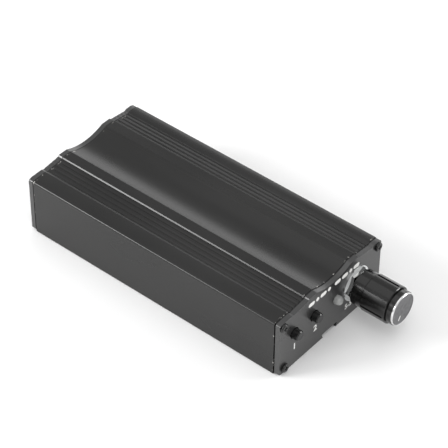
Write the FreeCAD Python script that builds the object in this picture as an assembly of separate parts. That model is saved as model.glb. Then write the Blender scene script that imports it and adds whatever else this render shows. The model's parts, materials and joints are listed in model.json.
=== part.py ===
import FreeCAD, Part
import math
import os

# Small bench box for Morse keying: a wave-topped aluminium extrusion closed by two flat
# end plates, with a speed knob, two push buttons and a lamp on the front plate.
# Frame: +Z up, front plate faces -Y, +X to the right when looking at the front.
# Origin: centre of the footprint of the whole object, on the surface it rests on.
# Sizes are in millimetres. A "depth" counts backwards from the face of the front plate.

# ---- driving dimensions ----
CASE_LENGTH = 100.0       # face of the front plate to face of the rear plate
CASE_WIDTH = 48.9
EDGE_HEIGHT = 20.75       # top of the case beside its long rounded edges
BAND_HEIGHT = 20.95       # inner edge of the smooth outer bands, which fall gently outwards
BAND_BULGE = 0.1          # how far a band's arc stands above its chord
CREST_HEIGHT = 21.9       # two flat crests, the highest part
VALLEY_HEIGHT = 20.1      # bottom of the thumb-wide valley between the crests
WAVE_X = 1.1              # the wave's middle stands a little right of the case's middle
CREST_INNER = 8.25        # the rest of the wave, measured from its middle
CREST_OUTER = 12.2
CREST_CHAMFER = 0.3       # bright edge of each crest
SHOULDER_TOP = 21.4
SHOULDER_LOW = 20.6
BAND_INNER = 19.3         # middle of the gentle rise from shoulder to band
BAND_RISE = 0.4           # half the width of that rise
TOP_EDGE_RADIUS = 0.7
BASE_EDGE_RADIUS = 0.4
PLATE_BASE_RADIUS = 1.2
CHANNEL_HALF_MOUTH = 3.0
CHANNEL_HALF_ROOF = 3.7
CHANNEL_DEPTH = 1.5
FINE_GROOVES = (13.5, 15.15, 16.8, 18.4)
FINE_GROOVE_WIDTH = 0.8   # across the top of each V
FINE_GROOVE_DEPTH = 0.23

WALL = 1.6
PLATE_THICKNESS = 1.6
PLATE_INSET = 0.1         # the plates are a hair smaller than the extrusion
SPACER_THICKNESS = 0.4    # dark spacer frame between plate and extrusion
SPACER_INSET = 0.15
SPACER_SIDE_INSET = 0.6   # it stops short of the side walls and leaves a thin gap there
SPACER_RIM = 1.7

SCREW_X_LOW = 21.7        # the lower pair sits a little further in
SCREW_X_HIGH = 22.6
SCREW_Z_LOW = 2.0
SCREW_Z_HIGH = 19.1
SCREW_HEAD_RADIUS = 1.5
SCREW_HEAD_HEIGHT = 0.85
SCREW_HEAD_ROUND = 0.4
SCREW_SHANK_RADIUS = 0.95
SCREW_LENGTH = 8.0
PORT_RADIUS = 0.85        # self-tapped ports run the whole extrusion
PORT_BOSS_RADIUS = 1.85
PLATE_HOLE_RADIUS = 1.15
FLAT_HEAD_RADIUS = 1.8    # countersunk screws hold the rear plate
FLAT_HEAD_HEIGHT = 0.85
RECESS_ARM = 0.85
RECESS_HALF_WIDTH = 0.2
RECESS_DEPTH = 0.6

BOARD_BOTTOM = 4.2
BOARD_THICKNESS = 1.6
BOARD_TOP = BOARD_BOTTOM + BOARD_THICKNESS
BOARD_HALF_WIDTH = 22.5
BOARD_CLEARANCE = 0.1
RAIL_REACH = 1.3
RAIL_HEIGHT = 0.8

FRONT_BOARD_DEPTH = 8.3
FRONT_BOARD_HALF_WIDTH = 20.4
FRONT_BOARD_TOP = 18.0
PIN_PITCH = 2.54
PIN_HALF = 0.32           # half the side of a square header pin
PIN_HOLE_RADIUS = 0.5
LINK_PINS = 8
LINK_REACH = 4.2          # header pins behind the front board
LINK_Z = BOARD_TOP + 1.4
LEG_THICKNESS = 0.35
LEG_HALF_WIDTH = 0.25

CHIP_X = -6.0
CHIP_DEPTH = 45.0
CHIP_HALF_WIDTH = 3.2
CHIP_HALF_LENGTH = 17.6
CHIP_LOW = 9.6
CHIP_HIGH = 13.0
CHIP_NOTCH_RADIUS = 0.8
CHIP_LEGS_PER_SIDE = 14
CHIP_LEG_CLEARANCE = 1.0
SOCKET_RIM = 1.1
SOCKET_BAR = 1.4
SOCKET_GAP = 0.4
CRYSTAL_X = 8.0
CRYSTAL_DEPTH = 43.0
CRYSTAL_HALF_LENGTH = 3.0
CRYSTAL_RADIUS = 1.9
CRYSTAL_TOP = 9.3
REGULATOR_X = 10.0
REGULATOR_DEPTH = 73.4
REGULATOR_HALF_WIDTH = 5.0
REGULATOR_TAB = 1.3
REGULATOR_BODY = 3.2
REGULATOR_TOP = 17.4
REGULATOR_BODY_TOP = 13.0
REGULATOR_HOLE_Z = 15.2
REGULATOR_HOLE_RADIUS = 1.6
OPTO_X = -14.5
OPTO_DEPTH = 71.2
OPTO_HALF_WIDTH = 2.0
OPTO_HALF_LENGTH = 3.2
OPTO_HEIGHT = 3.6
SOUNDER_X = -14.6
SOUNDER_DEPTH = 20.4
SOUNDER_RADIUS = 6.0
SOUNDER_HEIGHT = 9.0
SOUNDER_WALL = 1.0
SOUNDER_PORT_RADIUS = 1.1
RESISTOR_X = 10.4
RESISTOR_DEPTH = 20.0
RESISTOR_PITCH = 4.0
RESISTOR_COUNT = 5
RESISTOR_RADIUS = 1.1
RESISTOR_LENGTH = 6.2
CAPACITORS = ((16.5, 66.0, 3.1, 11.0), (16.5, 56.0, 2.5, 9.0))    # x, depth, radius, height
CAPACITOR_ROUND = 0.5
CAPACITOR_VENT = 0.2

KNOB_X = 12.0
KNOB_Z = 11.8
KNOB_REACH = 17.75        # face of the front plate to face of the knob
KNOB_REAR = 2.3           # gap behind the knob, which the nut fills
KNOB_BASE_RADIUS = 5.85
KNOB_LAND_RADIUS = 6.15
KNOB_BASE_LENGTH = 3.8
KNOB_LAND_LENGTH = 9.0
KNOB_NECK_RADIUS = 5.3
KNOB_NECK_LENGTH = 0.5
KNOB_COLLAR_RADIUS = 5.6
KNOB_EDGE = 0.2
KNOB_GRIP_GROOVES = 6
GRIP_GROOVE_WIDTH = 0.9
GRIP_GROOVE_TURN = 20.0   # degrees clockwise from the top to the first groove
GRIP_GROOVE_DEPTH = 0.35
GRIP_GROOVE_STOP = 0.7    # plain ring left in front of the grooves
KNOB_CAP_RADIUS = 5.45
KNOB_CAP_THICKNESS = 0.6
KNOB_CAP_CHAMFER = 0.2
KNOB_CAP_DISH = 0.1
KNOB_BORE_END = 1.2       # solid plastic left between the shaft's end and the cap
POINTER_HALF_WIDTH = 0.2
POINTER_TIP = 3.9
POINTER_LENGTH = 1.7
SHAFT_RADIUS = 3.0
SHAFT_CLEARANCE = 0.05
KNOB_BORE_GAP = 0.02      # the knob grips the shaft
POINTER_ANGLE = 208.0     # clockwise from the top, at the anticlockwise stop

BUSHING_RADIUS = 3.4
BUSHING_REACH = 2.1       # in front of the plate
POT_HALF_WIDTH = 4.9
POT_HALF_HEIGHT = 5.4
POT_WALL = 0.8
POT_FRONT_WALL = 2.0
TRACK_HOLE_RADIUS = 1.0
TRACK_THICKNESS = 0.6
TERMINAL_PITCH = 2.5
TERMINAL_HALF_WIDTH = 0.4
TERMINAL_THICKNESS = 0.3
ROTOR_RADIUS = 3.9
ROTOR_THICKNESS = 1.2
WIPER_RADIUS = 2.9
WIPER_WIDTH = 0.7
WIPER_THICKNESS = 0.3
WASHER_RADIUS = 6.0
WASHER_THICKNESS = 0.45
NUT_ACROSS_FLATS = 10.0
NUT_THICKNESS = 1.5
NUT_BEVEL = 0.35

BUTTON_Z = 13.0
BUTTONS_X = (-17.3, -7.9)
BUTTON_RADIUS = 1.7
BUTTON_REACH = 2.3
BUTTON_EDGE = 0.3
BUTTON_FOOT_RADIUS = 2.2
BUTTON_TRAVEL = 0.25
BUTTON_HOLE_RADIUS = 1.95
SWITCH_HALF_SIZE = 3.0
SWITCH_HEIGHT = 3.5
SWITCH_FLOOR = 0.8
SWITCH_COVER = 0.35
SWITCH_WELL_GAP = 0.25
BUTTON_CLEARANCE = 0.08
DOME_HEIGHT = 0.55
DOME_FALL = 0.12
DOME_SHEET = 0.15
SWITCH_LEG_HALF = 0.15
SWITCH_LEG_WIDTH = 0.7
SWITCH_LEG_Z = 2.25
SWITCH_LEG_LENGTH = 2.15

LAMP_X = 2.8
LAMP_Z = 11.7
LAMP_RADIUS = 1.5
LAMP_REACH = 2.3
LAMP_FLANGE_RADIUS = 1.9
LAMP_HOLE_RADIUS = 1.6
LAMP_FLANGE_THICKNESS = 1.0
LEAD_HALF = 0.25
LEAD_SPREAD = 1.0

JACK_Z = 10.9
JACKS_X = (-14.5, -1.5)
JACK_NAMES = ("key_jack", "output_jack")
JACK_BORE_RADIUS = 1.8
JACK_SLEEVE_RADIUS = 3.0
JACK_REACH = 3.0          # sleeve in front of the rear plate
JACK_NUT_RADIUS = 4.1
JACK_NUT_THICKNESS = 2.0
JACK_NUT_SLOT = 0.8
JACK_EDGE = 0.25
JACK_HOUSING_LENGTH = 12.0
JACK_HOUSING_HALF = 4.0
JACK_END_WALL = 1.0
JACK_CHAMBER_RADIUS = 2.6 # contacts sit round the plug in here
POWER_X = 13.2
POWER_Z = 12.2
POWER_BORE_RADIUS = 2.85
POWER_BARREL_RADIUS = 3.65
POWER_PIN_RADIUS = 1.0
POWER_PIN_RECESS = 1.2
POWER_RECESS = 0.3        # the socket's rim behind the plate's face
POWER_HOUSING_LENGTH = 12.5
POWER_HOUSING_HALF = 4.6

OVERALL_LENGTH = KNOB_REACH + CASE_LENGTH + JACK_REACH
FRONT_Y = KNOB_REACH - OVERALL_LENGTH / 2
HALF_WIDTH = CASE_WIDTH / 2
SHELL_START = PLATE_THICKNESS + SPACER_THICKNESS
SHELL_END = CASE_LENGTH - SHELL_START
SCREW_SPOTS = [(side * x, z) for side in (-1, 1)
               for x, z in ((SCREW_X_LOW, SCREW_Z_LOW), (SCREW_X_HIGH, SCREW_Z_HIGH))]
KEEP_CLEAR = 0.3
FIT_GAP = 0.1             # loose holes round fixed parts
TOUCH_GAP = 0.05


# ---- helpers ----
def at_depth(depth):
    return FRONT_Y + depth


def block(x_low, x_high, depth_low, depth_high, z_low, z_high):
    corner = FreeCAD.Vector(x_low, at_depth(depth_low), z_low)
    return Part.makeBox(x_high - x_low, depth_high - depth_low, z_high - z_low, corner)


def rod(x, z, radius, depth_low, depth_high):
    start = FreeCAD.Vector(x, at_depth(depth_low), z)
    return Part.makeCylinder(radius, depth_high - depth_low, start, FreeCAD.Vector(0, 1, 0))


def pillar(x, depth, radius, z_low, z_high):
    start = FreeCAD.Vector(x, at_depth(depth), z_low)
    return Part.makeCylinder(radius, z_high - z_low, start)


def turned(x, z, profile):
    """Solid of revolution about the Y axis through (x, z); profile holds (radius, depth)."""
    points = [FreeCAD.Vector(x + radius, at_depth(depth), z) for radius, depth in profile]
    face = Part.Face(Part.makePolygon(points + points[:1]))
    return face.revolve(FreeCAD.Vector(x, 0, z), FreeCAD.Vector(0, 1, 0), 360)


def ring(x, z, outer, inner, depth_low, depth_high):
    return turned(x, z, [(inner, depth_low), (outer, depth_low), (outer, depth_high), (inner, depth_high)])


def regular_prism(x, z, across_flats, sides, depth_low, depth_high):
    radius = across_flats / 2 / math.cos(math.pi / sides)
    points = []
    for index in range(sides + 1):
        angle = 2 * math.pi * index / sides
        corner_x = x + radius * math.cos(angle)
        corner_z = z + radius * math.sin(angle)
        points.append(FreeCAD.Vector(corner_x, at_depth(depth_low), corner_z))
    return Part.Face(Part.makePolygon(points)).extrude(FreeCAD.Vector(0, depth_high - depth_low, 0))


def fused(shapes):
    whole = shapes[0].fuse(shapes[1:]) if len(shapes) > 1 else shapes[0]
    return whole.removeSplitter()


def save(name, shape):
    os.makedirs("parts", exist_ok=True)
    solids = shape.Solids
    result = solids[0] if len(solids) == 1 else Part.makeCompound(solids)
    if not result.isValid():
        raise ValueError(name + " is not a valid solid")
    result.exportStep(os.path.join("parts", name + ".step"))
    print(name, "solids", len(solids), "volume", round(result.Volume, 1))


# ---- case ----
def corner_arc(centre_x, centre_z, radius, start_deg, end_deg):
    spots = []
    for degrees in (start_deg, (start_deg + end_deg) / 2, end_deg):
        angle = math.radians(degrees)
        x = centre_x + radius * math.cos(angle)
        spots.append(FreeCAD.Vector(x, 0, centre_z + radius * math.sin(angle)))
    return Part.Arc(*spots).toShape()


def straight_edges(points):
    return [Part.LineSegment(a, b).toShape() for a, b in zip(points, points[1:])]


def section_solid(edges, depth_low, depth_high):
    face = Part.Face(Part.Wire(Part.__sortEdges__(edges)))
    solid = face.extrude(FreeCAD.Vector(0, depth_high - depth_low, 0))
    solid.translate(FreeCAD.Vector(0, at_depth(depth_low), 0))
    return solid


def band_arc(inner, outer):
    """Outer band of the top: a shallow arc between two spots."""
    middle = FreeCAD.Vector((inner.x + outer.x) / 2, 0, (inner.z + outer.z) / 2 + BAND_BULGE)
    return Part.Arc(inner, middle, outer).toShape()


def case_profile(inset, base_radius, depth_low, depth_high):
    """Outer section of the case, shrunk by inset, as a solid between two depths."""
    side = HALF_WIDTH - inset
    top_radius = TOP_EDGE_RADIUS
    edge_z = EDGE_HEIGHT - inset

    def spot(x, z):
        return FreeCAD.Vector(x, 0, z)

    def wave_side(sign):
        """From the band inwards to the valley, on the right (+1) or left (-1) of the wave."""
        steps = [
            (BAND_INNER + BAND_RISE, BAND_HEIGHT),
            (BAND_INNER - BAND_RISE, SHOULDER_LOW),
            (CREST_OUTER, SHOULDER_TOP),
            (CREST_OUTER - inset, CREST_HEIGHT - CREST_CHAMFER),
            (CREST_OUTER - CREST_CHAMFER - inset, CREST_HEIGHT),
            (CREST_INNER, CREST_HEIGHT),
        ]
        return [spot(WAVE_X + sign * x, z - inset) for x, z in steps]

    right = wave_side(1)
    left = wave_side(-1)
    notch = [
        spot(-side + base_radius, inset),
        spot(-CHANNEL_HALF_MOUTH - inset, inset),
        spot(-CHANNEL_HALF_ROOF - inset, CHANNEL_DEPTH + inset),
        spot(CHANNEL_HALF_ROOF + inset, CHANNEL_DEPTH + inset),
        spot(CHANNEL_HALF_MOUTH + inset, inset),
        spot(side - base_radius, inset),
    ]
    wall_low = inset + base_radius
    wall_high = edge_z - top_radius
    edges = straight_edges(notch) + straight_edges(right) + straight_edges(left)
    edges.append(Part.Arc(right[-1], spot(WAVE_X, VALLEY_HEIGHT - inset), left[-1]).toShape())
    edges.append(band_arc(right[0], spot(side - top_radius, edge_z)))
    edges.append(band_arc(left[0], spot(-side + top_radius, edge_z)))
    edges += straight_edges([spot(side, wall_low), spot(side, wall_high)])
    edges += straight_edges([spot(-side, wall_low), spot(-side, wall_high)])
    edges.append(corner_arc(side - base_radius, wall_low, base_radius, -90, 0))
    edges.append(corner_arc(side - top_radius, wall_high, top_radius, 0, 90))
    edges.append(corner_arc(-side + top_radius, wall_high, top_radius, 90, 180))
    edges.append(corner_arc(-side + base_radius, wall_low, base_radius, 180, 270))
    return section_solid(edges, depth_low, depth_high)


def case_cavity(depth_low, depth_high):
    """Inside of the tube: even walls under the valley, the crests and the shoulders."""
    side = HALF_WIDTH - WALL
    floor = WALL + 0.2
    ridge = floor + CHANNEL_DEPTH
    shoulder = SHOULDER_LOW - WALL
    crest = CREST_HEIGHT - WALL

    def half(sign):
        steps = [(sign * (CHANNEL_HALF_ROOF + 1), ridge), (sign * (CHANNEL_HALF_ROOF + WALL), floor),
                 (sign * side, floor), (sign * side, shoulder),
                 (WAVE_X + sign * CREST_OUTER, crest), (WAVE_X + sign * CREST_INNER, crest)]
        return [FreeCAD.Vector(x, 0, z) for x, z in steps]

    right = half(1)
    left = half(-1)
    edges = straight_edges(right) + straight_edges(left) + straight_edges([left[0], right[0]])
    valley = FreeCAD.Vector(WAVE_X, 0, VALLEY_HEIGHT - WALL)
    edges.append(Part.Arc(right[-1], valley, left[-1]).toShape())
    return section_solid(edges, depth_low, depth_high)


def board_rails():
    """Two ribs on each side wall; the main board slides between them."""
    rails = []
    slot_low = BOARD_BOTTOM - BOARD_CLEARANCE
    slot_high = BOARD_TOP + BOARD_CLEARANCE
    wall = HALF_WIDTH - WALL / 2
    reach = wall - WALL / 2 - RAIL_REACH
    for low, high in ((slot_low - RAIL_HEIGHT, slot_low), (slot_high, slot_high + RAIL_HEIGHT)):
        rails.append(block(-wall, -reach, SHELL_START, SHELL_END, low, high))
        rails.append(block(reach, wall, SHELL_START, SHELL_END, low, high))
    return rails


def fine_grooves(depth_low, depth_high):
    """Shallow V grooves along both shoulders."""
    grooves = []
    slope = (SHOULDER_TOP - SHOULDER_LOW) / (BAND_INNER - BAND_RISE - CREST_OUTER)
    for distance in FINE_GROOVES:
        surface = SHOULDER_TOP - slope * (distance - CREST_OUTER)
        for sign in (-1, 1):
            middle = WAVE_X + sign * distance
            corners = [(middle - FINE_GROOVE_WIDTH, surface + FINE_GROOVE_DEPTH),
                       (middle, surface - FINE_GROOVE_DEPTH),
                       (middle + FINE_GROOVE_WIDTH, surface + FINE_GROOVE_DEPTH)]
            spots = [FreeCAD.Vector(x, 0, z) for x, z in corners]
            grooves.append(section_solid(straight_edges(spots + spots[:1]), depth_low, depth_high))
    return grooves


def case_shell():
    outer = case_profile(0.0, BASE_EDGE_RADIUS, SHELL_START, SHELL_END)
    bosses = [rod(x, z, PORT_BOSS_RADIUS, SHELL_START, SHELL_END) for x, z in SCREW_SPOTS]
    shell = outer.cut(case_cavity(SHELL_START, SHELL_END))
    fittings = fused(bosses + board_rails()).common(outer)
    shell = shell.fuse(fittings).removeSplitter()
    ports = [rod(x, z, PORT_RADIUS, SHELL_START, SHELL_END) for x, z in SCREW_SPOTS]
    save("case_shell", shell.cut(ports + fine_grooves(SHELL_START, SHELL_END)))


def spacer(name, start):
    end = start + SPACER_THICKNESS
    outer = case_profile(SPACER_INSET, BASE_EDGE_RADIUS, start, end)
    reach = HALF_WIDTH - SPACER_SIDE_INSET
    outer = outer.common(block(-reach, reach, start, end, SPACER_SIDE_INSET, CREST_HEIGHT))
    inner = block(-SCREW_X_LOW + SPACER_RIM, SCREW_X_LOW - SPACER_RIM, start, end,
                  SCREW_Z_LOW + SPACER_RIM, VALLEY_HEIGHT - SPACER_RIM)
    holes = [rod(x, z, PLATE_HOLE_RADIUS, start, end) for x, z in SCREW_SPOTS]
    save(name, outer.cut([inner] + holes))


def front_panel():
    plate = case_profile(PLATE_INSET, PLATE_BASE_RADIUS, 0, PLATE_THICKNESS)
    holes = [rod(x, z, PLATE_HOLE_RADIUS, 0, PLATE_THICKNESS) for x, z in SCREW_SPOTS]
    holes += [rod(x, BUTTON_Z, BUTTON_HOLE_RADIUS, 0, PLATE_THICKNESS) for x in BUTTONS_X]
    holes.append(rod(LAMP_X, LAMP_Z, LAMP_HOLE_RADIUS, 0, PLATE_THICKNESS))
    holes.append(rod(KNOB_X, KNOB_Z, BUSHING_RADIUS + FIT_GAP, 0, PLATE_THICKNESS))
    save("front_panel", plate.cut(holes))


def flat_head(x, z):
    """Cone of a countersunk head whose top is flush with the rear plate."""
    return turned(x, z, [(0, CASE_LENGTH), (FLAT_HEAD_RADIUS, CASE_LENGTH),
                         (SCREW_SHANK_RADIUS, CASE_LENGTH - FLAT_HEAD_HEIGHT),
                         (0, CASE_LENGTH - FLAT_HEAD_HEIGHT)])


def rear_panel():
    start = CASE_LENGTH - PLATE_THICKNESS
    plate = case_profile(PLATE_INSET, PLATE_BASE_RADIUS, start, CASE_LENGTH)
    holes = [rod(x, z, PLATE_HOLE_RADIUS, start, CASE_LENGTH) for x, z in SCREW_SPOTS]
    holes += [flat_head(x, z) for x, z in SCREW_SPOTS]
    holes += [rod(x, JACK_Z, JACK_SLEEVE_RADIUS + FIT_GAP, start, CASE_LENGTH) for x in JACKS_X]
    holes.append(rod(POWER_X, POWER_Z, POWER_BARREL_RADIUS + FIT_GAP, start, CASE_LENGTH))
    save("rear_panel", plate.cut(holes + fine_grooves(start, CASE_LENGTH)))


def cross_recess(x, z, depth_low, depth_high):
    arm = RECESS_ARM
    half = RECESS_HALF_WIDTH
    return [block(x - arm, x + arm, depth_low, depth_high, z - half, z + half),
            block(x - half, x + half, depth_low, depth_high, z - arm, z + arm)]


def front_screws():
    """Four pan-head screws with a cross recess."""
    top = -SCREW_HEAD_HEIGHT
    group = []
    for x, z in SCREW_SPOTS:
        head = rod(x, z, SCREW_HEAD_RADIUS, top, 0)
        rim = [edge for edge in head.Edges if edge.BoundBox.YMax < at_depth(top) + TOUCH_GAP]
        head = head.makeFillet(SCREW_HEAD_ROUND, rim)
        shank = rod(x, z, SCREW_SHANK_RADIUS, -TOUCH_GAP, SCREW_LENGTH)
        group.append(head.fuse(shank).cut(cross_recess(x, z, top, top + RECESS_DEPTH)))
    save("front_screws", Part.makeCompound(group))


def rear_screws():
    """Four countersunk screws with a cross recess."""
    group = []
    for x, z in SCREW_SPOTS:
        shank = rod(x, z, SCREW_SHANK_RADIUS, CASE_LENGTH - SCREW_LENGTH, CASE_LENGTH)
        recess = cross_recess(x, z, CASE_LENGTH - RECESS_DEPTH, CASE_LENGTH)
        group.append(flat_head(x, z).fuse(shank).cut(recess))
    save("rear_screws", Part.makeCompound(group))


# ---- boards ----
def boards():
    """Main board in the rails, upright front board, and the angled pins that link them."""
    front_rear = FRONT_BOARD_DEPTH + BOARD_THICKNESS
    elbow = front_rear + LINK_REACH
    main = block(-BOARD_HALF_WIDTH, BOARD_HALF_WIDTH, SHELL_START + KEEP_CLEAR, SHELL_END - KEEP_CLEAR,
                 BOARD_BOTTOM, BOARD_TOP)
    front = block(-FRONT_BOARD_HALF_WIDTH, FRONT_BOARD_HALF_WIDTH, FRONT_BOARD_DEPTH, front_rear,
                  BOARD_TOP + BOARD_CLEARANCE, FRONT_BOARD_TOP)
    half_strip = LINK_PINS * PIN_PITCH / 2
    strip = block(-half_strip, half_strip, front_rear, front_rear + PIN_PITCH,
                  BOARD_TOP + BOARD_CLEARANCE, BOARD_TOP + BOARD_CLEARANCE + PIN_PITCH)
    pins = []
    across = []
    down = []
    for index in range(LINK_PINS):
        x = (index - (LINK_PINS - 1) / 2) * PIN_PITCH
        low_x = x - PIN_HALF
        high_x = x + PIN_HALF
        level = block(low_x, high_x, FRONT_BOARD_DEPTH, elbow, LINK_Z - PIN_HALF, LINK_Z + PIN_HALF)
        drop = block(low_x, high_x, elbow - 2 * PIN_HALF, elbow, BOARD_BOTTOM - 0.5, LINK_Z)
        pins.append(level.fuse(drop).removeSplitter())
        across.append(rod(x, LINK_Z, PIN_HOLE_RADIUS, 0, elbow - 2 * PIN_HALF))
        down.append(pillar(x, elbow - PIN_HALF, PIN_HOLE_RADIUS, 0, LINK_Z - PIN_HALF))
    save("main_board", main.cut(down))
    save("front_board", front.cut(across))
    save("board_link_strip", strip.cut(across))
    save("board_link_pins", Part.makeCompound(pins))


def chip_legs(x, depth, half_width, per_side, z_low, z_high, gap):
    """Two rows of legs beside a chip body; gap widens them to cut their slots."""
    legs = []
    for side in (-1, 1):
        near = x + side * half_width
        far = near + side * LEG_THICKNESS
        for index in range(per_side):
            spot = depth + (index - (per_side - 1) / 2) * PIN_PITCH
            legs.append(block(min(near, far) - gap, max(near, far) + gap, spot - LEG_HALF_WIDTH - gap,
                              spot + LEG_HALF_WIDTH + gap, z_low - gap, z_high + gap))
    return legs


def keyer_chip():
    """A 28-leg chip in a socket: body with its end notch, legs, and the socket's frame."""
    x, depth, half = CHIP_X, CHIP_DEPTH, CHIP_HALF_WIDTH
    front = depth - CHIP_HALF_LENGTH
    rear = depth + CHIP_HALF_LENGTH
    leg_low = BOARD_TOP + CHIP_LEG_CLEARANCE
    body = block(x - half, x + half, front, rear, CHIP_LOW, CHIP_HIGH)
    notch = pillar(x, front, CHIP_NOTCH_RADIUS, CHIP_HIGH - KEEP_CLEAR, CHIP_HIGH)
    save("keyer_chip", body.cut(notch))
    legs = chip_legs(x, depth, half, CHIP_LEGS_PER_SIDE, leg_low, (CHIP_LOW + CHIP_HIGH) / 2, 0)
    save("keyer_chip_legs", Part.makeCompound(legs))
    outer_x = half + SOCKET_RIM
    inner_x = half - SOCKET_BAR
    low = BOARD_TOP + BOARD_CLEARANCE
    high = CHIP_LOW - SOCKET_GAP
    frame = block(x - outer_x, x + outer_x, front - SOCKET_GAP, rear + SOCKET_GAP, low, high)
    window = block(x - inner_x, x + inner_x, front + SOCKET_BAR, rear - SOCKET_BAR, low, high)
    slots = chip_legs(x, depth, half, CHIP_LEGS_PER_SIDE, leg_low, high, TOUCH_GAP)
    save("chip_socket", frame.cut([window] + slots))


def capacitor(number, x, depth, radius, height):
    top = BOARD_TOP + height
    body = pillar(x, depth, radius, BOARD_TOP + BOARD_CLEARANCE, top)
    rim = [edge for edge in body.Edges if edge.BoundBox.ZMin > top - TOUCH_GAP]
    body = body.makeFillet(CAPACITOR_ROUND, rim)
    vent = block(x - radius, x + radius, depth - CAPACITOR_VENT, depth + CAPACITOR_VENT,
                 top - CAPACITOR_VENT, top)
    save("smoothing_capacitor_%d" % number, body.cut(vent))


def clock_crystal():
    """Flat metal can with rounded ends."""
    low = BOARD_TOP + BOARD_CLEARANCE
    front = CRYSTAL_DEPTH - CRYSTAL_HALF_LENGTH
    rear = CRYSTAL_DEPTH + CRYSTAL_HALF_LENGTH
    can = [pillar(CRYSTAL_X, end, CRYSTAL_RADIUS, low, CRYSTAL_TOP) for end in (front, rear)]
    can.append(block(CRYSTAL_X - CRYSTAL_RADIUS, CRYSTAL_X + CRYSTAL_RADIUS, front, rear, low, CRYSTAL_TOP))
    save("clock_crystal", fused(can))


def voltage_regulator():
    """Upright regulator: moulded body against a metal tab with a hole."""
    low = BOARD_TOP + BOARD_CLEARANCE
    left = REGULATOR_X - REGULATOR_HALF_WIDTH
    right = REGULATOR_X + REGULATOR_HALF_WIDTH
    tab_end = REGULATOR_DEPTH + REGULATOR_TAB
    tab = block(left, right, REGULATOR_DEPTH, tab_end, low, REGULATOR_TOP)
    hole = rod(REGULATOR_X, REGULATOR_HOLE_Z, REGULATOR_HOLE_RADIUS, REGULATOR_DEPTH, tab_end)
    body = block(left, right, REGULATOR_DEPTH - REGULATOR_BODY, REGULATOR_DEPTH, low, REGULATOR_BODY_TOP)
    save("voltage_regulator", fused([tab.cut(hole), body]))


def sounder():
    """Round buzzer can with a sound port on top."""
    low = BOARD_TOP + BOARD_CLEARANCE
    top = BOARD_TOP + SOUNDER_HEIGHT
    roof = top - SOUNDER_WALL
    can = pillar(SOUNDER_X, SOUNDER_DEPTH, SOUNDER_RADIUS, low, top)
    chamber = pillar(SOUNDER_X, SOUNDER_DEPTH, SOUNDER_RADIUS - SOUNDER_WALL, low + 2 * SOUNDER_WALL, roof)
    port = pillar(SOUNDER_X, SOUNDER_DEPTH, SOUNDER_PORT_RADIUS, roof, top)
    save("sounder", can.cut([chamber, port]))


def resistors():
    bars = []
    for index in range(RESISTOR_COUNT):
        depth = RESISTOR_DEPTH + index * RESISTOR_PITCH
        start = FreeCAD.Vector(RESISTOR_X, at_depth(depth), BOARD_TOP + RESISTOR_RADIUS + KEEP_CLEAR)
        bars.append(Part.makeCylinder(RESISTOR_RADIUS, RESISTOR_LENGTH, start, FreeCAD.Vector(1, 0, 0)))
    save("resistors", Part.makeCompound(bars))


def output_optocoupler():
    low = BOARD_TOP + BOARD_CLEARANCE
    save("output_optocoupler", block(OPTO_X - OPTO_HALF_WIDTH, OPTO_X + OPTO_HALF_WIDTH,
                                     OPTO_DEPTH - OPTO_HALF_LENGTH, OPTO_DEPTH + OPTO_HALF_LENGTH,
                                     low, BOARD_TOP + OPTO_HEIGHT))


# ---- speed control ----
def control_body():
    """Fixed parts of the speed control: housing, bushing, resistance track, terminals, washer, nut."""
    front = PLATE_THICKNESS
    rear = FRONT_BOARD_DEPTH - TOUCH_GAP
    inside_rear = rear - POT_WALL
    hollow_radius = POT_HALF_WIDTH - POT_WALL
    bore_radius = SHAFT_RADIUS + SHAFT_CLEARANCE
    housing = block(KNOB_X - POT_HALF_WIDTH, KNOB_X + POT_HALF_WIDTH, front, rear,
                    KNOB_Z - POT_HALF_HEIGHT, KNOB_Z + POT_HALF_HEIGHT)
    hollow = rod(KNOB_X, KNOB_Z, hollow_radius, front + POT_FRONT_WALL, inside_rear)
    bore = rod(KNOB_X, KNOB_Z, bore_radius, front, front + POT_FRONT_WALL)
    save("control_housing", housing.cut([hollow, bore]))
    save("control_bushing", ring(KNOB_X, KNOB_Z, BUSHING_RADIUS, bore_radius, -BUSHING_REACH, front))
    save("control_track", ring(KNOB_X, KNOB_Z, hollow_radius, TRACK_HOLE_RADIUS,
                               inside_rear - TRACK_THICKNESS, inside_rear))
    terminal_rear = rear - POT_WALL
    terminals = []
    for offset in (-TERMINAL_PITCH, 0, TERMINAL_PITCH):
        x = KNOB_X + offset
        terminals.append(block(x - TERMINAL_HALF_WIDTH, x + TERMINAL_HALF_WIDTH,
                               terminal_rear - TERMINAL_THICKNESS, terminal_rear,
                               BOARD_TOP + BOARD_CLEARANCE, KNOB_Z - POT_HALF_HEIGHT))
    save("control_terminals", Part.makeCompound(terminals))
    save("control_washer", ring(KNOB_X, KNOB_Z, WASHER_RADIUS, BUSHING_RADIUS + FIT_GAP,
                                -WASHER_THICKNESS, 0))


def control_nut():
    front = -WASHER_THICKNESS - NUT_THICKNESS
    rear = -WASHER_THICKNESS
    flat = NUT_ACROSS_FLATS / 2
    corner = flat / math.cos(math.pi / 6)
    nut = regular_prism(KNOB_X, KNOB_Z, NUT_ACROSS_FLATS, 6, front, rear)
    bevel = turned(KNOB_X, KNOB_Z, [(0, front), (flat, front), (corner, front + NUT_BEVEL),
                                    (corner, rear), (0, rear)])
    save("control_nut", nut.common(bevel).cut(rod(KNOB_X, KNOB_Z, BUSHING_RADIUS, front, rear)))


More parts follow.
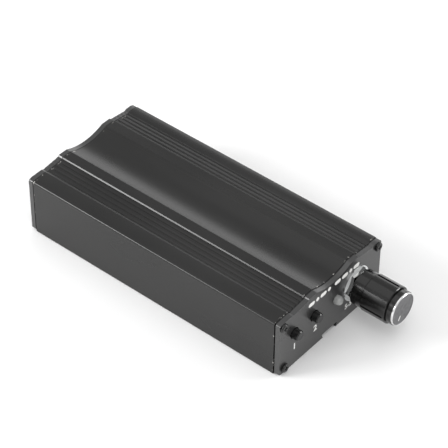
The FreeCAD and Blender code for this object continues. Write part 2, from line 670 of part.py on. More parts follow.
def control_shaft():
    """Everything the knob turns inside the control: shaft, rotor disc and wiper ring."""
    front = -KNOB_REACH + KNOB_CAP_THICKNESS + KNOB_BORE_END
    rotor_front = PLATE_THICKNESS + POT_FRONT_WALL + KEEP_CLEAR
    rotor_rear = rotor_front + ROTOR_THICKNESS
    save("control_shaft", rod(KNOB_X, KNOB_Z, SHAFT_RADIUS, front + KEEP_CLEAR, rotor_rear))
    save("control_rotor", ring(KNOB_X, KNOB_Z, ROTOR_RADIUS, SHAFT_RADIUS, rotor_front, rotor_rear))
    wiper = ring(KNOB_X, KNOB_Z, WIPER_RADIUS, WIPER_RADIUS - WIPER_WIDTH,
                 rotor_rear, rotor_rear + WIPER_THICKNESS)
    reach = WIPER_RADIUS + 1
    lower_half = block(KNOB_X - reach, KNOB_X + reach, rotor_front, rotor_rear + 1, KNOB_Z - reach, KNOB_Z)
    save("control_wiper", wiper.cut(lower_half))


def grip_grooves(depth_low, depth_high):
    """Flat-bottomed grooves along the knob's grip."""
    grooves = []
    half = GRIP_GROOVE_WIDTH / 2
    bottom = KNOB_LAND_RADIUS - GRIP_GROOVE_DEPTH
    for index in range(KNOB_GRIP_GROOVES):
        groove = block(KNOB_X - half, KNOB_X + half, depth_low, depth_high,
                       KNOB_Z + bottom, KNOB_Z + KNOB_LAND_RADIUS + 1)
        angle = GRIP_GROOVE_TURN + 360.0 * index / KNOB_GRIP_GROOVES
        groove.rotate(FreeCAD.Vector(KNOB_X, 0, KNOB_Z), FreeCAD.Vector(0, 1, 0), angle)
        grooves.append(groove)
    return grooves


def knob():
    rear = -KNOB_REAR
    land_rear = rear - KNOB_BASE_LENGTH
    land_front = land_rear - KNOB_LAND_LENGTH
    collar_rear = land_front - KNOB_NECK_LENGTH
    collar_front = -KNOB_REACH + KNOB_CAP_THICKNESS
    step = KNOB_LAND_RADIUS - KNOB_BASE_RADIUS
    edge = KNOB_EDGE
    body = turned(KNOB_X, KNOB_Z, [
        (0, rear), (KNOB_BASE_RADIUS - edge, rear), (KNOB_BASE_RADIUS, rear - edge),
        (KNOB_BASE_RADIUS, land_rear), (KNOB_LAND_RADIUS, land_rear - step),
        (KNOB_LAND_RADIUS, land_front + edge), (KNOB_LAND_RADIUS - edge, land_front),
        (KNOB_NECK_RADIUS, land_front), (KNOB_NECK_RADIUS, collar_rear),
        (KNOB_COLLAR_RADIUS, collar_rear), (KNOB_COLLAR_RADIUS, collar_front), (0, collar_front)])
    bore = rod(KNOB_X, KNOB_Z, SHAFT_RADIUS + KNOB_BORE_GAP, collar_front + KNOB_BORE_END, rear)
    save("knob_body", body.cut(grip_grooves(land_front + GRIP_GROOVE_STOP, land_rear) + [bore]))
    face = -KNOB_REACH
    floor = face + KNOB_CAP_DISH
    rim = KNOB_CAP_RADIUS - KNOB_CAP_CHAMFER
    dish = rim - KNOB_CAP_DISH
    cap = turned(KNOB_X, KNOB_Z, [
        (0, collar_front), (KNOB_CAP_RADIUS, collar_front), (KNOB_CAP_RADIUS, face + KNOB_CAP_CHAMFER),
        (rim, face), (dish, face), (dish - KNOB_CAP_DISH, floor), (0, floor)])
    save("knob_cap", cap)
    tip = KNOB_Z + POINTER_TIP
    line = block(KNOB_X - POINTER_HALF_WIDTH, KNOB_X + POINTER_HALF_WIDTH,
                 face + KNOB_CAP_DISH / 2, floor, tip - POINTER_LENGTH, tip)
    line.rotate(FreeCAD.Vector(KNOB_X, 0, KNOB_Z), FreeCAD.Vector(0, 1, 0), POINTER_ANGLE)
    save("knob_pointer", line)


# ---- push buttons and lamp ----
def switch_body(number, x):
    """Fixed parts of a tactile switch: base, pressed cover, snap dome and four legs."""
    rear = FRONT_BOARD_DEPTH - TOUCH_GAP
    floor = rear - SWITCH_FLOOR
    cover_front = rear - SWITCH_HEIGHT
    cover_rear = cover_front + SWITCH_COVER
    size = SWITCH_HALF_SIZE
    well = rod(x, BUTTON_Z, BUTTON_FOOT_RADIUS + SWITCH_WELL_GAP, cover_rear, floor)
    base = block(x - size, x + size, cover_rear, rear, BUTTON_Z - size, BUTTON_Z + size)
    save("switch_%d_base" % number, base.cut(well))
    opening = rod(x, BUTTON_Z, BUTTON_RADIUS + BUTTON_CLEARANCE, cover_front, cover_rear)
    cover = block(x - size, x + size, cover_front, cover_rear, BUTTON_Z - size, BUTTON_Z + size)
    save("switch_%d_cover" % number, cover.cut(opening))
    outer = BUTTON_FOOT_RADIUS
    shoulder = outer / 2
    crown = floor - DOME_HEIGHT
    save("switch_%d_dome" % number, turned(x, BUTTON_Z, [
        (0, crown), (shoulder, crown + DOME_FALL), (outer, floor - DOME_FALL), (outer, floor),
        (shoulder, crown + DOME_FALL + DOME_SHEET), (0, crown + DOME_SHEET)]))
    legs = []
    for side in (-1, 1):
        leg_x = x + side * (size + SWITCH_LEG_HALF)
        for height in (-SWITCH_LEG_Z, SWITCH_LEG_Z):
            leg_z = BUTTON_Z + height
            legs.append(block(leg_x - SWITCH_LEG_HALF, leg_x + SWITCH_LEG_HALF, rear - SWITCH_LEG_LENGTH,
                              rear, leg_z - SWITCH_LEG_WIDTH / 2, leg_z + SWITCH_LEG_WIDTH / 2))
    save("switch_%d_legs" % number, Part.makeCompound(legs))


def button(number, x):
    """Plunger that passes through the plate; its foot is trapped under the cover."""
    rear = FRONT_BOARD_DEPTH - TOUCH_GAP
    face = -BUTTON_REACH
    foot_front = rear - SWITCH_HEIGHT + SWITCH_COVER + TOUCH_GAP
    foot_rear = rear - SWITCH_FLOOR - DOME_HEIGHT - BUTTON_TRAVEL - FIT_GAP
    save("button_%d" % number, turned(x, BUTTON_Z, [
        (0, face), (BUTTON_RADIUS - BUTTON_EDGE, face), (BUTTON_RADIUS, face + BUTTON_EDGE),
        (BUTTON_RADIUS, foot_front), (BUTTON_FOOT_RADIUS, foot_front), (BUTTON_FOOT_RADIUS, foot_rear),
        (0, foot_rear)]))


def lamp():
    flange_front = PLATE_THICKNESS + TOUCH_GAP
    flange_rear = flange_front + LAMP_FLANGE_THICKNESS
    dome_centre = -LAMP_REACH + LAMP_RADIUS
    body = rod(LAMP_X, LAMP_Z, LAMP_RADIUS, dome_centre, flange_rear)
    tip = Part.makeSphere(LAMP_RADIUS, FreeCAD.Vector(LAMP_X, at_depth(dome_centre), LAMP_Z))
    flange = rod(LAMP_X, LAMP_Z, LAMP_FLANGE_RADIUS, flange_front, flange_rear)
    save("lamp_lens", fused([body, tip, flange]))
    half = LEAD_HALF
    lead_end = FRONT_BOARD_DEPTH - TOUCH_GAP
    leads = [block(x - half, x + half, flange_rear, lead_end, LAMP_Z - half, LAMP_Z + half)
             for x in (LAMP_X - LEAD_SPREAD, LAMP_X + LEAD_SPREAD)]
    save("lamp_leads", Part.makeCompound(leads))


# ---- rear sockets ----
def jack(name, x):
    """A 3.5 mm socket: moulded body behind the plate and a threaded sleeve through it."""
    plate_inside = CASE_LENGTH - PLATE_THICKNESS
    start = plate_inside - JACK_HOUSING_LENGTH
    end = CASE_LENGTH + JACK_REACH
    half = JACK_HOUSING_HALF
    housing = block(x - half, x + half, start, plate_inside, BOARD_TOP + TOUCH_GAP, JACK_Z + half)
    chamber = rod(x, JACK_Z, JACK_CHAMBER_RADIUS, start + JACK_END_WALL, plate_inside)
    save(name + "_housing", housing.cut(chamber))
    save(name + "_sleeve", turned(x, JACK_Z, [
        (JACK_BORE_RADIUS, plate_inside), (JACK_SLEEVE_RADIUS, plate_inside),
        (JACK_SLEEVE_RADIUS, end - JACK_EDGE), (JACK_SLEEVE_RADIUS - JACK_EDGE, end),
        (JACK_BORE_RADIUS, end)]))


def jack_nuts():
    """Slotted round nuts that clamp the two sleeves to the rear plate."""
    face = CASE_LENGTH + JACK_NUT_THICKNESS
    nuts = []
    for x in JACKS_X:
        nut = turned(x, JACK_Z, [
            (JACK_SLEEVE_RADIUS, CASE_LENGTH), (JACK_NUT_RADIUS, CASE_LENGTH),
            (JACK_NUT_RADIUS, face - JACK_EDGE), (JACK_NUT_RADIUS - JACK_EDGE, face),
            (JACK_SLEEVE_RADIUS, face)])
        slot = block(x - JACK_NUT_SLOT / 2, x + JACK_NUT_SLOT / 2, face - JACK_NUT_SLOT, face,
                     JACK_Z - JACK_NUT_RADIUS, JACK_Z + JACK_NUT_RADIUS)
        nuts.append(nut.cut(slot))
    save("jack_nuts", Part.makeCompound(nuts))


def power_socket():
    plate_inside = CASE_LENGTH - PLATE_THICKNESS
    start = plate_inside - POWER_HOUSING_LENGTH
    end = CASE_LENGTH - POWER_RECESS
    half = POWER_HOUSING_HALF
    base = block(POWER_X - half, POWER_X + half, start, plate_inside, BOARD_TOP + TOUCH_GAP, POWER_Z + half)
    barrel = rod(POWER_X, POWER_Z, POWER_BARREL_RADIUS, plate_inside, end)
    bottom = start + WALL
    bore = rod(POWER_X, POWER_Z, POWER_BORE_RADIUS, bottom, end)
    save("power_socket_housing", base.fuse(barrel).removeSplitter().cut(bore))
    save("power_socket_pin", rod(POWER_X, POWER_Z, POWER_PIN_RADIUS, bottom, end - POWER_PIN_RECESS))


case_shell()
spacer("front_spacer", PLATE_THICKNESS)
spacer("rear_spacer", SHELL_END)
front_panel()
rear_panel()
front_screws()
rear_screws()
boards()
keyer_chip()
for capacitor_number, capacitor_place in enumerate(CAPACITORS, start=1):
    capacitor(capacitor_number, *capacitor_place)
clock_crystal()
voltage_regulator()
output_optocoupler()
sounder()
resistors()
control_body()
control_nut()
control_shaft()
knob()
for button_number, button_x in enumerate(BUTTONS_X, start=1):
    switch_body(button_number, button_x)
    button(button_number, button_x)
lamp()
for jack_name, jack_x in zip(JACK_NAMES, JACKS_X):
    jack(jack_name, jack_x)
jack_nuts()
power_socket()
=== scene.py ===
import json
import math

import bmesh
import bpy
from mathutils import Euler, Matrix, Vector


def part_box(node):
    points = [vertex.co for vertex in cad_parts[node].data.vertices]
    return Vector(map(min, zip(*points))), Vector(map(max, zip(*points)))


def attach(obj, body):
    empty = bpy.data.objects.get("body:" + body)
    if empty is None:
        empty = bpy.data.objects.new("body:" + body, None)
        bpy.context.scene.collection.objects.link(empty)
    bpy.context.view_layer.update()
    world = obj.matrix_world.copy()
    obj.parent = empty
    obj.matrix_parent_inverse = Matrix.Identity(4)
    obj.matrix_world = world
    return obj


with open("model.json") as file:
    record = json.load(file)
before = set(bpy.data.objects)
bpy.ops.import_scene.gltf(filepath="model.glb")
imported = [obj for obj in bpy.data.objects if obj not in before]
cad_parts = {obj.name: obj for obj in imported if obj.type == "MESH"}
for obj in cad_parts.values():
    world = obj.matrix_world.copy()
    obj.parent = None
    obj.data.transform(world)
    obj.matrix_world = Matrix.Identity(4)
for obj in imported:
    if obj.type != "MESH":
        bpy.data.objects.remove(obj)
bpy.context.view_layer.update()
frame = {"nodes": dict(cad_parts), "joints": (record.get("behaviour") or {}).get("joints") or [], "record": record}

MM = 0.001

# ---- places read from the frame, in metres ----
NODES = frame["nodes"]
FACE_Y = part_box("front_panel")[0].y
KNOB_JOINT = next(j for j in frame["joints"] if j["name"] == "knob_turn")
AXIS_X, _, AXIS_Z = KNOB_JOINT["pos_m"]
SHELL_LOW, SHELL_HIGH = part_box("case_shell")
CAP_LOW, CAP_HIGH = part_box("knob_cap")
CAP_RADIUS = (CAP_HIGH.x - CAP_LOW.x) / 2

# ---- sizes of surface detail, in metres ----
INK_DEPTH = 0.03 * MM
INK_SPREAD = 0.09 * MM                     # how far ink thickens a numeral's strokes
BARE_END = (0.05 * MM, 0.5 * MM)           # full and no wear, from each sawn end of the extrusion
RUBBED_CREST = (0.34 * MM, 0.26 * MM)      # no and full polish, below the crests
CAP_RIM = (0.32 * MM, 0.22 * MM)           # inside and outside of the rim's edge, from the cap's edge
CAP_RING_RATE = 42000.0                    # radians of turning mark per metre of radius
RIPPLE_DEPTH = 0.004 * MM                  # flow ripple of moulded plastic
WASHER_EASE = 0.15 * MM
PLATE_EASE = 0.12 * MM


# ---- materials ----
class Finish:
    """A material under construction: one Principled shader with helpers for its inputs."""

    def __init__(self, name, colour, roughness, **sockets):
        self.material = bpy.data.materials.new(name)
        self.material.use_nodes = True
        self.tree = self.material.node_tree
        self.shader = self.tree.nodes["Principled BSDF"]
        self.shader.inputs["Base Color"].default_value = (*colour, 1)
        self.shader.inputs["Roughness"].default_value = roughness
        for socket, value in sockets.items():
            self.shader.inputs[socket.replace("_", " ")].default_value = value
        self.place = self.tree.nodes.new("ShaderNodeTexCoord").outputs["Object"]

    def link(self, source, target):
        self.tree.links.new(source, target)

    def noise(self, stretch, detail=3.0, roughness=0.55):
        """Noise with its own number of cells per metre along X, Y and Z."""
        mapping = self.tree.nodes.new("ShaderNodeMapping")
        mapping.inputs["Scale"].default_value = stretch
        self.link(self.place, mapping.inputs["Vector"])
        texture = self.tree.nodes.new("ShaderNodeTexNoise")
        texture.inputs["Scale"].default_value = 1.0
        texture.inputs["Detail"].default_value = detail
        texture.inputs["Roughness"].default_value = roughness
        self.link(mapping.outputs["Vector"], texture.inputs["Vector"])
        return texture.outputs["Fac"]

    def remap(self, source, low, high, to_low, to_high):
        """Carries low..high to to_low..to_high, and holds the ends outside that range."""
        node = self.tree.nodes.new("ShaderNodeMapRange")
        limits = {"From Min": low, "From Max": high, "To Min": to_low, "To Max": to_high}
        for socket, value in limits.items():
            node.inputs[socket].default_value = value
        self.link(source, node.inputs["Value"])
        return node.outputs["Result"]

    def math(self, operation, first, second=0.0):
        """One operation on numbers or outputs; SINE and SQRT take no second value."""
        node = self.tree.nodes.new("ShaderNodeMath")
        node.operation = operation
        for socket, value in zip(node.inputs, (first, second)):
            if isinstance(value, (int, float)):
                socket.default_value = value
            else:
                self.link(value, socket)
        return node.outputs[0]

    def mix(self, factor, first, second):
        """Blends two colours, each a tuple or an output."""
        node = self.tree.nodes.new("ShaderNodeMix")
        node.data_type = "RGBA"
        self.link(factor, node.inputs["Factor"])
        for socket, value in zip(("A", "B"), (first, second)):
            target = next(i for i in node.inputs if i.name == socket and i.type == "RGBA")
            if isinstance(value, tuple):
                target.default_value = (*value, 1)
            else:
                self.link(value, target)
        return next(o for o in node.outputs if o.type == "RGBA")

    def colour(self, source):
        self.link(source, self.shader.inputs["Base Color"])

    def rough(self, source):
        self.link(source, self.shader.inputs["Roughness"])

    def bump(self, height, distance, strength, under=None):
        """Relief of the given depth; under is the bump that it lies on."""
        node = self.tree.nodes.new("ShaderNodeBump")
        node.inputs["Distance"].default_value = distance
        node.inputs["Strength"].default_value = strength
        self.link(height, node.inputs["Height"])
        if under is not None:
            self.link(under, node.inputs["Normal"])
        self.link(node.outputs["Normal"], self.shader.inputs["Normal"])
        return node.outputs["Normal"]

    def axis(self, name):
        """One coordinate of the point being shaded."""
        node = self.tree.nodes.new("ShaderNodeSeparateXYZ")
        self.link(self.place, node.inputs[0])
        return node.outputs[name]


def shell_finish():
    """Satin black anodised extrusion: die lines along Y, rubbed crests, bare metal on the sawn ends."""
    finish = Finish("shell_anodised", (0.016, 0.016, 0.0155), 0.3, IOR=1.45)
    lines = finish.noise((2600, 9, 2600), 4, 0.6)
    patches = finish.noise((55, 18, 55), 3)
    grain = finish.noise((7000, 7000, 7000), 2)
    dark, light = (0.007, 0.0069, 0.0067), (0.012, 0.0118, 0.0114)
    tone = finish.mix(finish.remap(patches, 0.35, 0.65, 0, 1), dark, light)
    tone = finish.mix(finish.remap(lines, 0.62, 0.8, 0, 0.5), tone, (0.025, 0.025, 0.024))
    depth = finish.axis("Y")
    worn, sound = BARE_END
    near_front = finish.remap(depth, SHELL_LOW.y + worn, SHELL_LOW.y + sound, 1, 0)
    near_rear = finish.remap(depth, SHELL_HIGH.y - sound, SHELL_HIGH.y - worn, 0, 1)
    chips = finish.remap(finish.noise((900, 900, 900), 3), 0.60, 0.66, 0, 1)
    wear = finish.math("MULTIPLY", finish.math("MAXIMUM", near_front, near_rear), chips)
    finish.colour(finish.mix(wear, tone, (0.42, 0.41, 0.39)))
    satin = finish.remap(patches, 0.3, 0.7, 0.26, 0.32)
    rub_foot, rub_full = RUBBED_CREST
    rubbed = finish.remap(finish.axis("Z"), SHELL_HIGH.z - rub_foot, SHELL_HIGH.z - rub_full, 0, 0.03)
    finish.rough(finish.math("SUBTRACT", satin, rubbed))
    under = finish.bump(lines, 0.004 * MM, 0.6)
    finish.bump(grain, 0.006 * MM, 0.5, under)
    return finish.material


def plate_finish():
    """Fine bead-blasted black anodising of the end plates, a little greyer than the extrusion."""
    finish = Finish("plate_anodised", (0.016, 0.016, 0.016), 0.3, IOR=1.75)
    grain = finish.noise((5200, 5200, 5200), 3)
    cloud = finish.noise((90, 90, 90), 3)
    dark, light = (0.014, 0.014, 0.014), (0.019, 0.019, 0.019)
    finish.colour(finish.mix(finish.remap(cloud, 0.35, 0.65, 0, 1), dark, light))
    finish.rough(finish.remap(cloud, 0.3, 0.7, 0.27, 0.33))
    finish.bump(grain, 0.008 * MM, 0.5)
    return finish.material


def plastic_finish(name, colour, roughness):
    """Moulded plastic with a faint flow ripple and uneven gloss."""
    finish = Finish(name, colour, roughness)
    ripple = finish.noise((260, 120, 260), 2)
    dust = finish.noise((2400, 2400, 2400), 2)
    lighter = tuple(min(1.0, c * 1.25 + 0.004) for c in colour)
    finish.colour(finish.mix(finish.remap(dust, 0.55, 0.75, 0, 1), colour, lighter))
    finish.rough(finish.remap(ripple, 0.3, 0.7, roughness * 0.85, roughness * 1.2))
    under = finish.bump(ripple, RIPPLE_DEPTH, 0.5)
    finish.bump(dust, 0.002 * MM, 0.4, under)
    return finish.material


def metal_finish(name, colour, roughness, stretch=(1500, 1500, 1500)):
    """Bare or plated metal with directional marks of the given scale."""
    finish = Finish(name, colour, roughness, Metallic=1.0)
    marks = finish.noise(stretch, 3)
    tarnish = finish.noise((220, 220, 220), 3)
    darker = tuple(c * 0.8 for c in colour)
    finish.colour(finish.mix(finish.remap(tarnish, 0.4, 0.7, 0, 1), colour, darker))
    finish.rough(finish.remap(marks, 0.3, 0.7, roughness * 0.7, roughness * 1.35))
    finish.bump(marks, 0.003 * MM, 0.5)
    return finish.material


def board_finish():
    """Green solder mask with copper runs showing through as a slightly lighter relief."""
    finish = Finish("board_mask", (0.01, 0.09, 0.035), 0.3, Coat_Weight=0.3)
    runs = finish.noise((420, 130, 420), 1, 0.2)
    folded = finish.math("PINGPONG", finish.math("MULTIPLY", runs, 14.0), 0.5)
    stripes = finish.remap(folded, 0.22, 0.28, 0, 1)
    finish.colour(finish.mix(stripes, (0.008, 0.075, 0.03), (0.02, 0.14, 0.055)))
    finish.bump(stripes, 0.03 * MM, 0.5)
    return finish.material


def spun_cap_finish():
    """Turned cap: dull grey face with fine rings round the axis, and a polished rim."""
    finish = Finish("spun_aluminium", (0.18, 0.18, 0.185), 0.32, Metallic=1.0, Anisotropic=0.4)
    across = finish.math("SUBTRACT", finish.axis("X"), AXIS_X)
    upward = finish.math("SUBTRACT", finish.axis("Z"), AXIS_Z)
    across_squared = finish.math("MULTIPLY", across, across)
    upward_squared = finish.math("MULTIPLY", upward, upward)
    radius = finish.math("SQRT", finish.math("ADD", across_squared, upward_squared))
    rim_inside, rim_outside = CAP_RIM
    rim = finish.remap(radius, CAP_RADIUS - rim_inside, CAP_RADIUS - rim_outside, 0, 1)
    rings = finish.math("SINE", finish.math("MULTIPLY", radius, CAP_RING_RATE))
    uneven = finish.noise((700, 700, 700), 3)
    face = finish.mix(finish.remap(uneven, 0.35, 0.7, 0, 1), (0.2, 0.2, 0.205), (0.16, 0.16, 0.165))
    finish.colour(finish.mix(rim, face, (0.8, 0.8, 0.8)))
    dull = finish.remap(uneven, 0.3, 0.7, 0.4, 0.5)
    finish.rough(finish.math("SUBTRACT", dull, finish.math("MULTIPLY", rim, 0.25)))
    finish.bump(rings, 0.003 * MM, 0.4)
    return finish.material


def lamp_finish():
    """Milky diffusing epoxy, slightly uneven inside."""
    finish = Finish("lamp_epoxy", (0.32, 0.325, 0.32), 0.25, Subsurface_Weight=0.4, IOR=1.5)
    finish.shader.inputs["Subsurface Radius"].default_value = (MM, MM, MM)
    cloud = finish.noise((500, 500, 500), 2)
    dull, clear = (0.28, 0.285, 0.28), (0.36, 0.365, 0.36)
    finish.colour(finish.mix(finish.remap(cloud, 0.35, 0.65, 0, 1), dull, clear))
    finish.bump(cloud, 0.004 * MM, 0.4)
    return finish.material


def ink_finish():
    """Screen-printed white ink, thin and a little broken at its edges."""
    finish = Finish("white_ink", (0.78, 0.78, 0.76), 0.55)
    grain = finish.noise((5200, 5200, 5200), 3)
    finish.colour(finish.mix(finish.remap(grain, 0.5, 0.72, 0, 1), (0.82, 0.82, 0.8), (0.6, 0.6, 0.59)))
    finish.bump(grain, 0.006 * MM, 0.5)
    return finish.material


FINISHES = {
    "shell": shell_finish(),
    "plate": plate_finish(),
    "black_rubber": plastic_finish("spacer_black", (0.008, 0.008, 0.008), 0.7),
    "black_screw": plastic_finish("screw_black", (0.005, 0.005, 0.005), 0.18),
    "board": board_finish(),
    "black_plastic": plastic_finish("moulded_black", (0.014, 0.014, 0.014), 0.5),
    "gloss_black": plastic_finish("gloss_black", (0.002, 0.002, 0.0018), 0.18),
    "button_black": plastic_finish("button_black", (0.005, 0.005, 0.005), 0.3),
    "tinned": metal_finish("tinned", (0.62, 0.62, 0.6), 0.35),
    "nickel": metal_finish("nickel", (0.86, 0.87, 0.87), 0.1),
    "shaft": metal_finish("turned_shaft", (0.7, 0.7, 0.7), 0.3, (300, 6000, 300)),
    "bronze": metal_finish("bronze", (0.72, 0.5, 0.25), 0.3),
    "sleeve_blue": plastic_finish("capacitor_sleeve", (0.012, 0.02, 0.06), 0.3),
    "lacquer": plastic_finish("resistor_lacquer", (0.5, 0.36, 0.2), 0.4),
    "spun_cap": spun_cap_finish(),
    "lamp": lamp_finish(),
    "ink": ink_finish(),
}
SLOT_FINISH = {
    "black_anodised": "shell", "plate_anodised": "plate", "spacer_black": "black_rubber",
    "black_screw": "black_screw", "circuit_board": "board", "chip_plastic": "black_plastic",
    "tinned_metal": "tinned", "capacitor_sleeve": "sleeve_blue", "resistor_lacquer": "lacquer",
    "control_plastic": "black_plastic", "nickel_plate": "nickel", "shaft_metal": "shaft",
    "contact_metal": "bronze", "knob_plastic": "gloss_black", "knob_cap_metal": "spun_cap",
    "pointer_white": "ink", "switch_plastic": "black_plastic", "switch_cover_metal": "tinned",
    "button_plastic": "button_black", "lamp_epoxy": "lamp", "socket_plastic": "black_plastic",
}


def ease_edges(name, width):
    """Rounds a piece's sharp edges a little, as turning and plating leave them."""
    bevel = NODES[name].modifiers.new("eased", "BEVEL")
    bevel.width = width
    bevel.segments = 2
    bevel.limit_method = "ANGLE"
    bevel.angle_limit = math.radians(40)


def dress_frame():
    """Gives every CAD node the finish of its slot in the record."""
    for entry in frame["record"]["subparts"]:
        node = NODES[entry["node"]]
        node.data.materials.clear()
        node.data.materials.append(FINISHES[SLOT_FINISH[entry["material_slot"]]])


# ---- prints on the front plate, placed in millimetres ----
TITLE_PATTERN = "-.-. --.-"
TITLE_START_X = -10.9
TITLE_Z = 18.8
TITLE_HEIGHT = 1.45
TITLE_DASH = 2.9
TITLE_GAP = 0.62
NUMERAL_SCALE = 1.38      # font size over the height of its figures
NUMERALS = {              # name: (text, x, z, height)
    "button_1_number": ("1", -17.1, 7.3, 2.3),
    "button_2_number": ("2", -7.2, 7.3, 2.3),
    "speed_numbers": ("5-50", 9.7, 4.7, 1.9),
}


def put_on_plate(name, data):
    """Makes a piece of white ink from a mesh and fixes it to the case."""
    data.materials.append(FINISHES["ink"])
    piece = bpy.data.objects.new(name, data)
    bpy.context.scene.collection.objects.link(piece)
    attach(piece, "case")


def printed(name, outlines):
    """White ink shapes on the front plate; each outline is a list of (x, z) in millimetres."""
    mesh = bmesh.new()
    for outline in outlines:
        points = [Vector((x * MM, FACE_Y - INK_DEPTH, z * MM)) for x, z in outline]
        face = mesh.faces.new([mesh.verts.new(point) for point in points])
        extruded = bmesh.ops.extrude_face_region(mesh, geom=[face])
        moved = [item for item in extruded["geom"] if isinstance(item, bmesh.types.BMVert)]
        bmesh.ops.translate(mesh, verts=moved, vec=(0, INK_DEPTH, 0))
    bmesh.ops.recalc_face_normals(mesh, faces=mesh.faces)
    data = bpy.data.meshes.new(name)
    mesh.to_mesh(data)
    mesh.free()
    put_on_plate(name, data)


def pill(x, z, length, height, steps=8):
    """Outline of a bar with round ends; a dot when its length equals its height."""
    radius = height / 2
    reach = (length - height) / 2
    outline = []
    for centre, start in ((x + reach, -90), (x - reach, 90)):
        for step in range(steps + 1):
            angle = math.radians(start + 180 * step / steps)
            outline.append((centre + radius * math.cos(angle), z + radius * math.sin(angle)))
    return outline


def title_row():
    """A row of dots and dashes in place of a printed title; a dot is as long as it is high."""
    cursor = TITLE_START_X
    outlines = []
    for mark in TITLE_PATTERN:
        if mark == " ":
            cursor += 2 * TITLE_GAP
            continue
        length = TITLE_DASH if mark == "-" else TITLE_HEIGHT
        outlines.append(pill(cursor + length / 2, TITLE_Z, length, TITLE_HEIGHT))
        cursor += length + TITLE_GAP
    printed("title_marks", outlines)


def numeral(name, text, x, z, height):
    """A printed number, centred on (x, z) in millimetres."""
    curve = bpy.data.curves.new(name, "FONT")
    curve.body = text
    curve.size = height * NUMERAL_SCALE * MM
    curve.align_x = "CENTER"
    curve.align_y = "CENTER"
    curve.extrude = INK_DEPTH / 2
    curve.offset = INK_SPREAD
    holder = bpy.data.objects.new(name + "_outline", curve)
    bpy.context.scene.collection.objects.link(holder)
    holder.rotation_euler = Euler((math.pi / 2, 0, 0))
    holder.location = (x * MM, FACE_Y - INK_DEPTH / 2, z * MM)
    bpy.context.view_layer.update()
    shaped = holder.evaluated_get(bpy.context.evaluated_depsgraph_get())
    data = bpy.data.meshes.new_from_object(shaped)
    data.transform(holder.matrix_world)
    bpy.data.objects.remove(holder)
    data.materials.clear()
    put_on_plate(name, data)


# ---- camera, floor and light ----
CAMERA_AZIMUTH = math.radians(-50.33)
CAMERA_ELEVATION = math.radians(42.27)
CAMERA_ROLL = math.radians(0.41)
CAMERA_DISTANCE = 0.628  # metres
CAMERA_LENS = 163.4      # millimetres, as is the sensor's width
SENSOR = 36.0
AIM_HEIGHT = 10 * MM     # the camera circles this point, at the middle of the case
AIM_RIGHT = 0.0067       # how far the view's centre stands beside and above that point, in metres
AIM_UP = 0.00333
CLIP_NEAR = 0.01
CLIP_FAR = 50
FLOOR_SIZE = 6.0         # half the side of the floor, in metres
FLOOR_DROP = 0.0001      # keeps the floor clear of the case's underside
WORLD_STRENGTH = 0.66
SOFTBOXES = {            # name: (place, target, width, height, watts), in metres
    "key_light": ((-0.5, -0.7, 1.1), (0, 0, 0), 0.9, 0.9, 4),
    "overhead_light": ((-0.05, 0.08, 0.8), (-0.05, 0.08, 0), 0.7, 0.74, 0.9),
    "left_rear_light": ((-0.7, 0.66, 0.5), (0, 0.02, 0), 0.45, 0.4, 8.5),
    "right_front_light": ((0.85, -0.75, 0.4), (0, 0, 0), 0.35, 0.35, 4),
    "right_rear_panel": ((0.88, 0.5, 0.3), (0, 0, 0), 0.6, 0.4, 1.0),
}


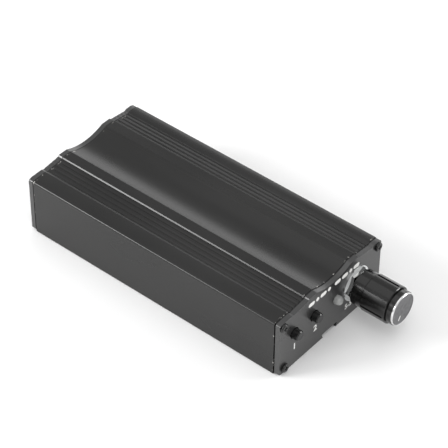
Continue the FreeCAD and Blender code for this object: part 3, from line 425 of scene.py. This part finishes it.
def aim_camera():
    """Places the camera on its circle round the case, rolls it and shifts it off centre."""
    middle = Vector((0, (FACE_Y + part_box("rear_panel")[1].y) / 2, AIM_HEIGHT))
    level = math.cos(CAMERA_ELEVATION)
    back = Vector((math.sin(CAMERA_AZIMUTH) * level, -math.cos(CAMERA_AZIMUTH) * level,
                   math.sin(CAMERA_ELEVATION)))
    right = (-back).cross(Vector((0, 0, 1))).normalized()
    up = right.cross(-back)
    turned_right = math.cos(CAMERA_ROLL) * right + math.sin(CAMERA_ROLL) * up
    turned_up = math.cos(CAMERA_ROLL) * up - math.sin(CAMERA_ROLL) * right
    data = bpy.data.cameras.new("view")
    data.lens = CAMERA_LENS
    data.sensor_width = SENSOR
    data.clip_start = CLIP_NEAR
    data.clip_end = CLIP_FAR
    camera = bpy.data.objects.new("view", data)
    bpy.context.scene.collection.objects.link(camera)
    place = middle + back * CAMERA_DISTANCE + turned_right * AIM_RIGHT + turned_up * AIM_UP
    turn = Matrix((turned_right, turned_up, back)).transposed().to_4x4()
    camera.matrix_world = Matrix.Translation(place) @ turn
    bpy.context.scene.camera = camera


def softbox(name, place, target, width, height, power):
    """A rectangular light that faces its target."""
    data = bpy.data.lights.new(name, "AREA")
    data.shape = "RECTANGLE"
    data.size = width
    data.size_y = height
    data.energy = power
    lamp = bpy.data.objects.new(name, data)
    bpy.context.scene.collection.objects.link(lamp)
    lamp.location = place
    lamp.rotation_euler = (Vector(target) - Vector(place)).to_track_quat("-Z", "Y").to_euler()


def studio():
    """White paper floor, even white surroundings and the softboxes."""
    mesh = bmesh.new()
    bmesh.ops.create_grid(mesh, x_segments=1, y_segments=1, size=FLOOR_SIZE)
    data = bpy.data.meshes.new("floor")
    mesh.to_mesh(data)
    mesh.free()
    finish = Finish("floor_paper", (0.9, 0.9, 0.9), 0.8)
    speckle = finish.noise((60, 60, 60), 3)
    finish.colour(finish.mix(speckle, (0.89, 0.89, 0.89), (0.92, 0.92, 0.92)))
    data.materials.append(finish.material)
    floor = bpy.data.objects.new("floor", data)
    floor.location = (0, 0, -FLOOR_DROP)
    bpy.context.scene.collection.objects.link(floor)
    world = bpy.data.worlds.new("studio")
    world.use_nodes = True
    background = world.node_tree.nodes["Background"]
    background.inputs["Color"].default_value = (1, 1, 1, 1)
    background.inputs["Strength"].default_value = WORLD_STRENGTH
    bpy.context.scene.world = world
    for name, settings in SOFTBOXES.items():
        softbox(name, *settings)
    bpy.context.scene.view_settings.view_transform = "Standard"


aim_camera()
studio()
dress_frame()
ease_edges("control_washer", WASHER_EASE)
ease_edges("front_panel", PLATE_EASE)
title_row()
for name, settings in NUMERALS.items():
    numeral(name, *settings)
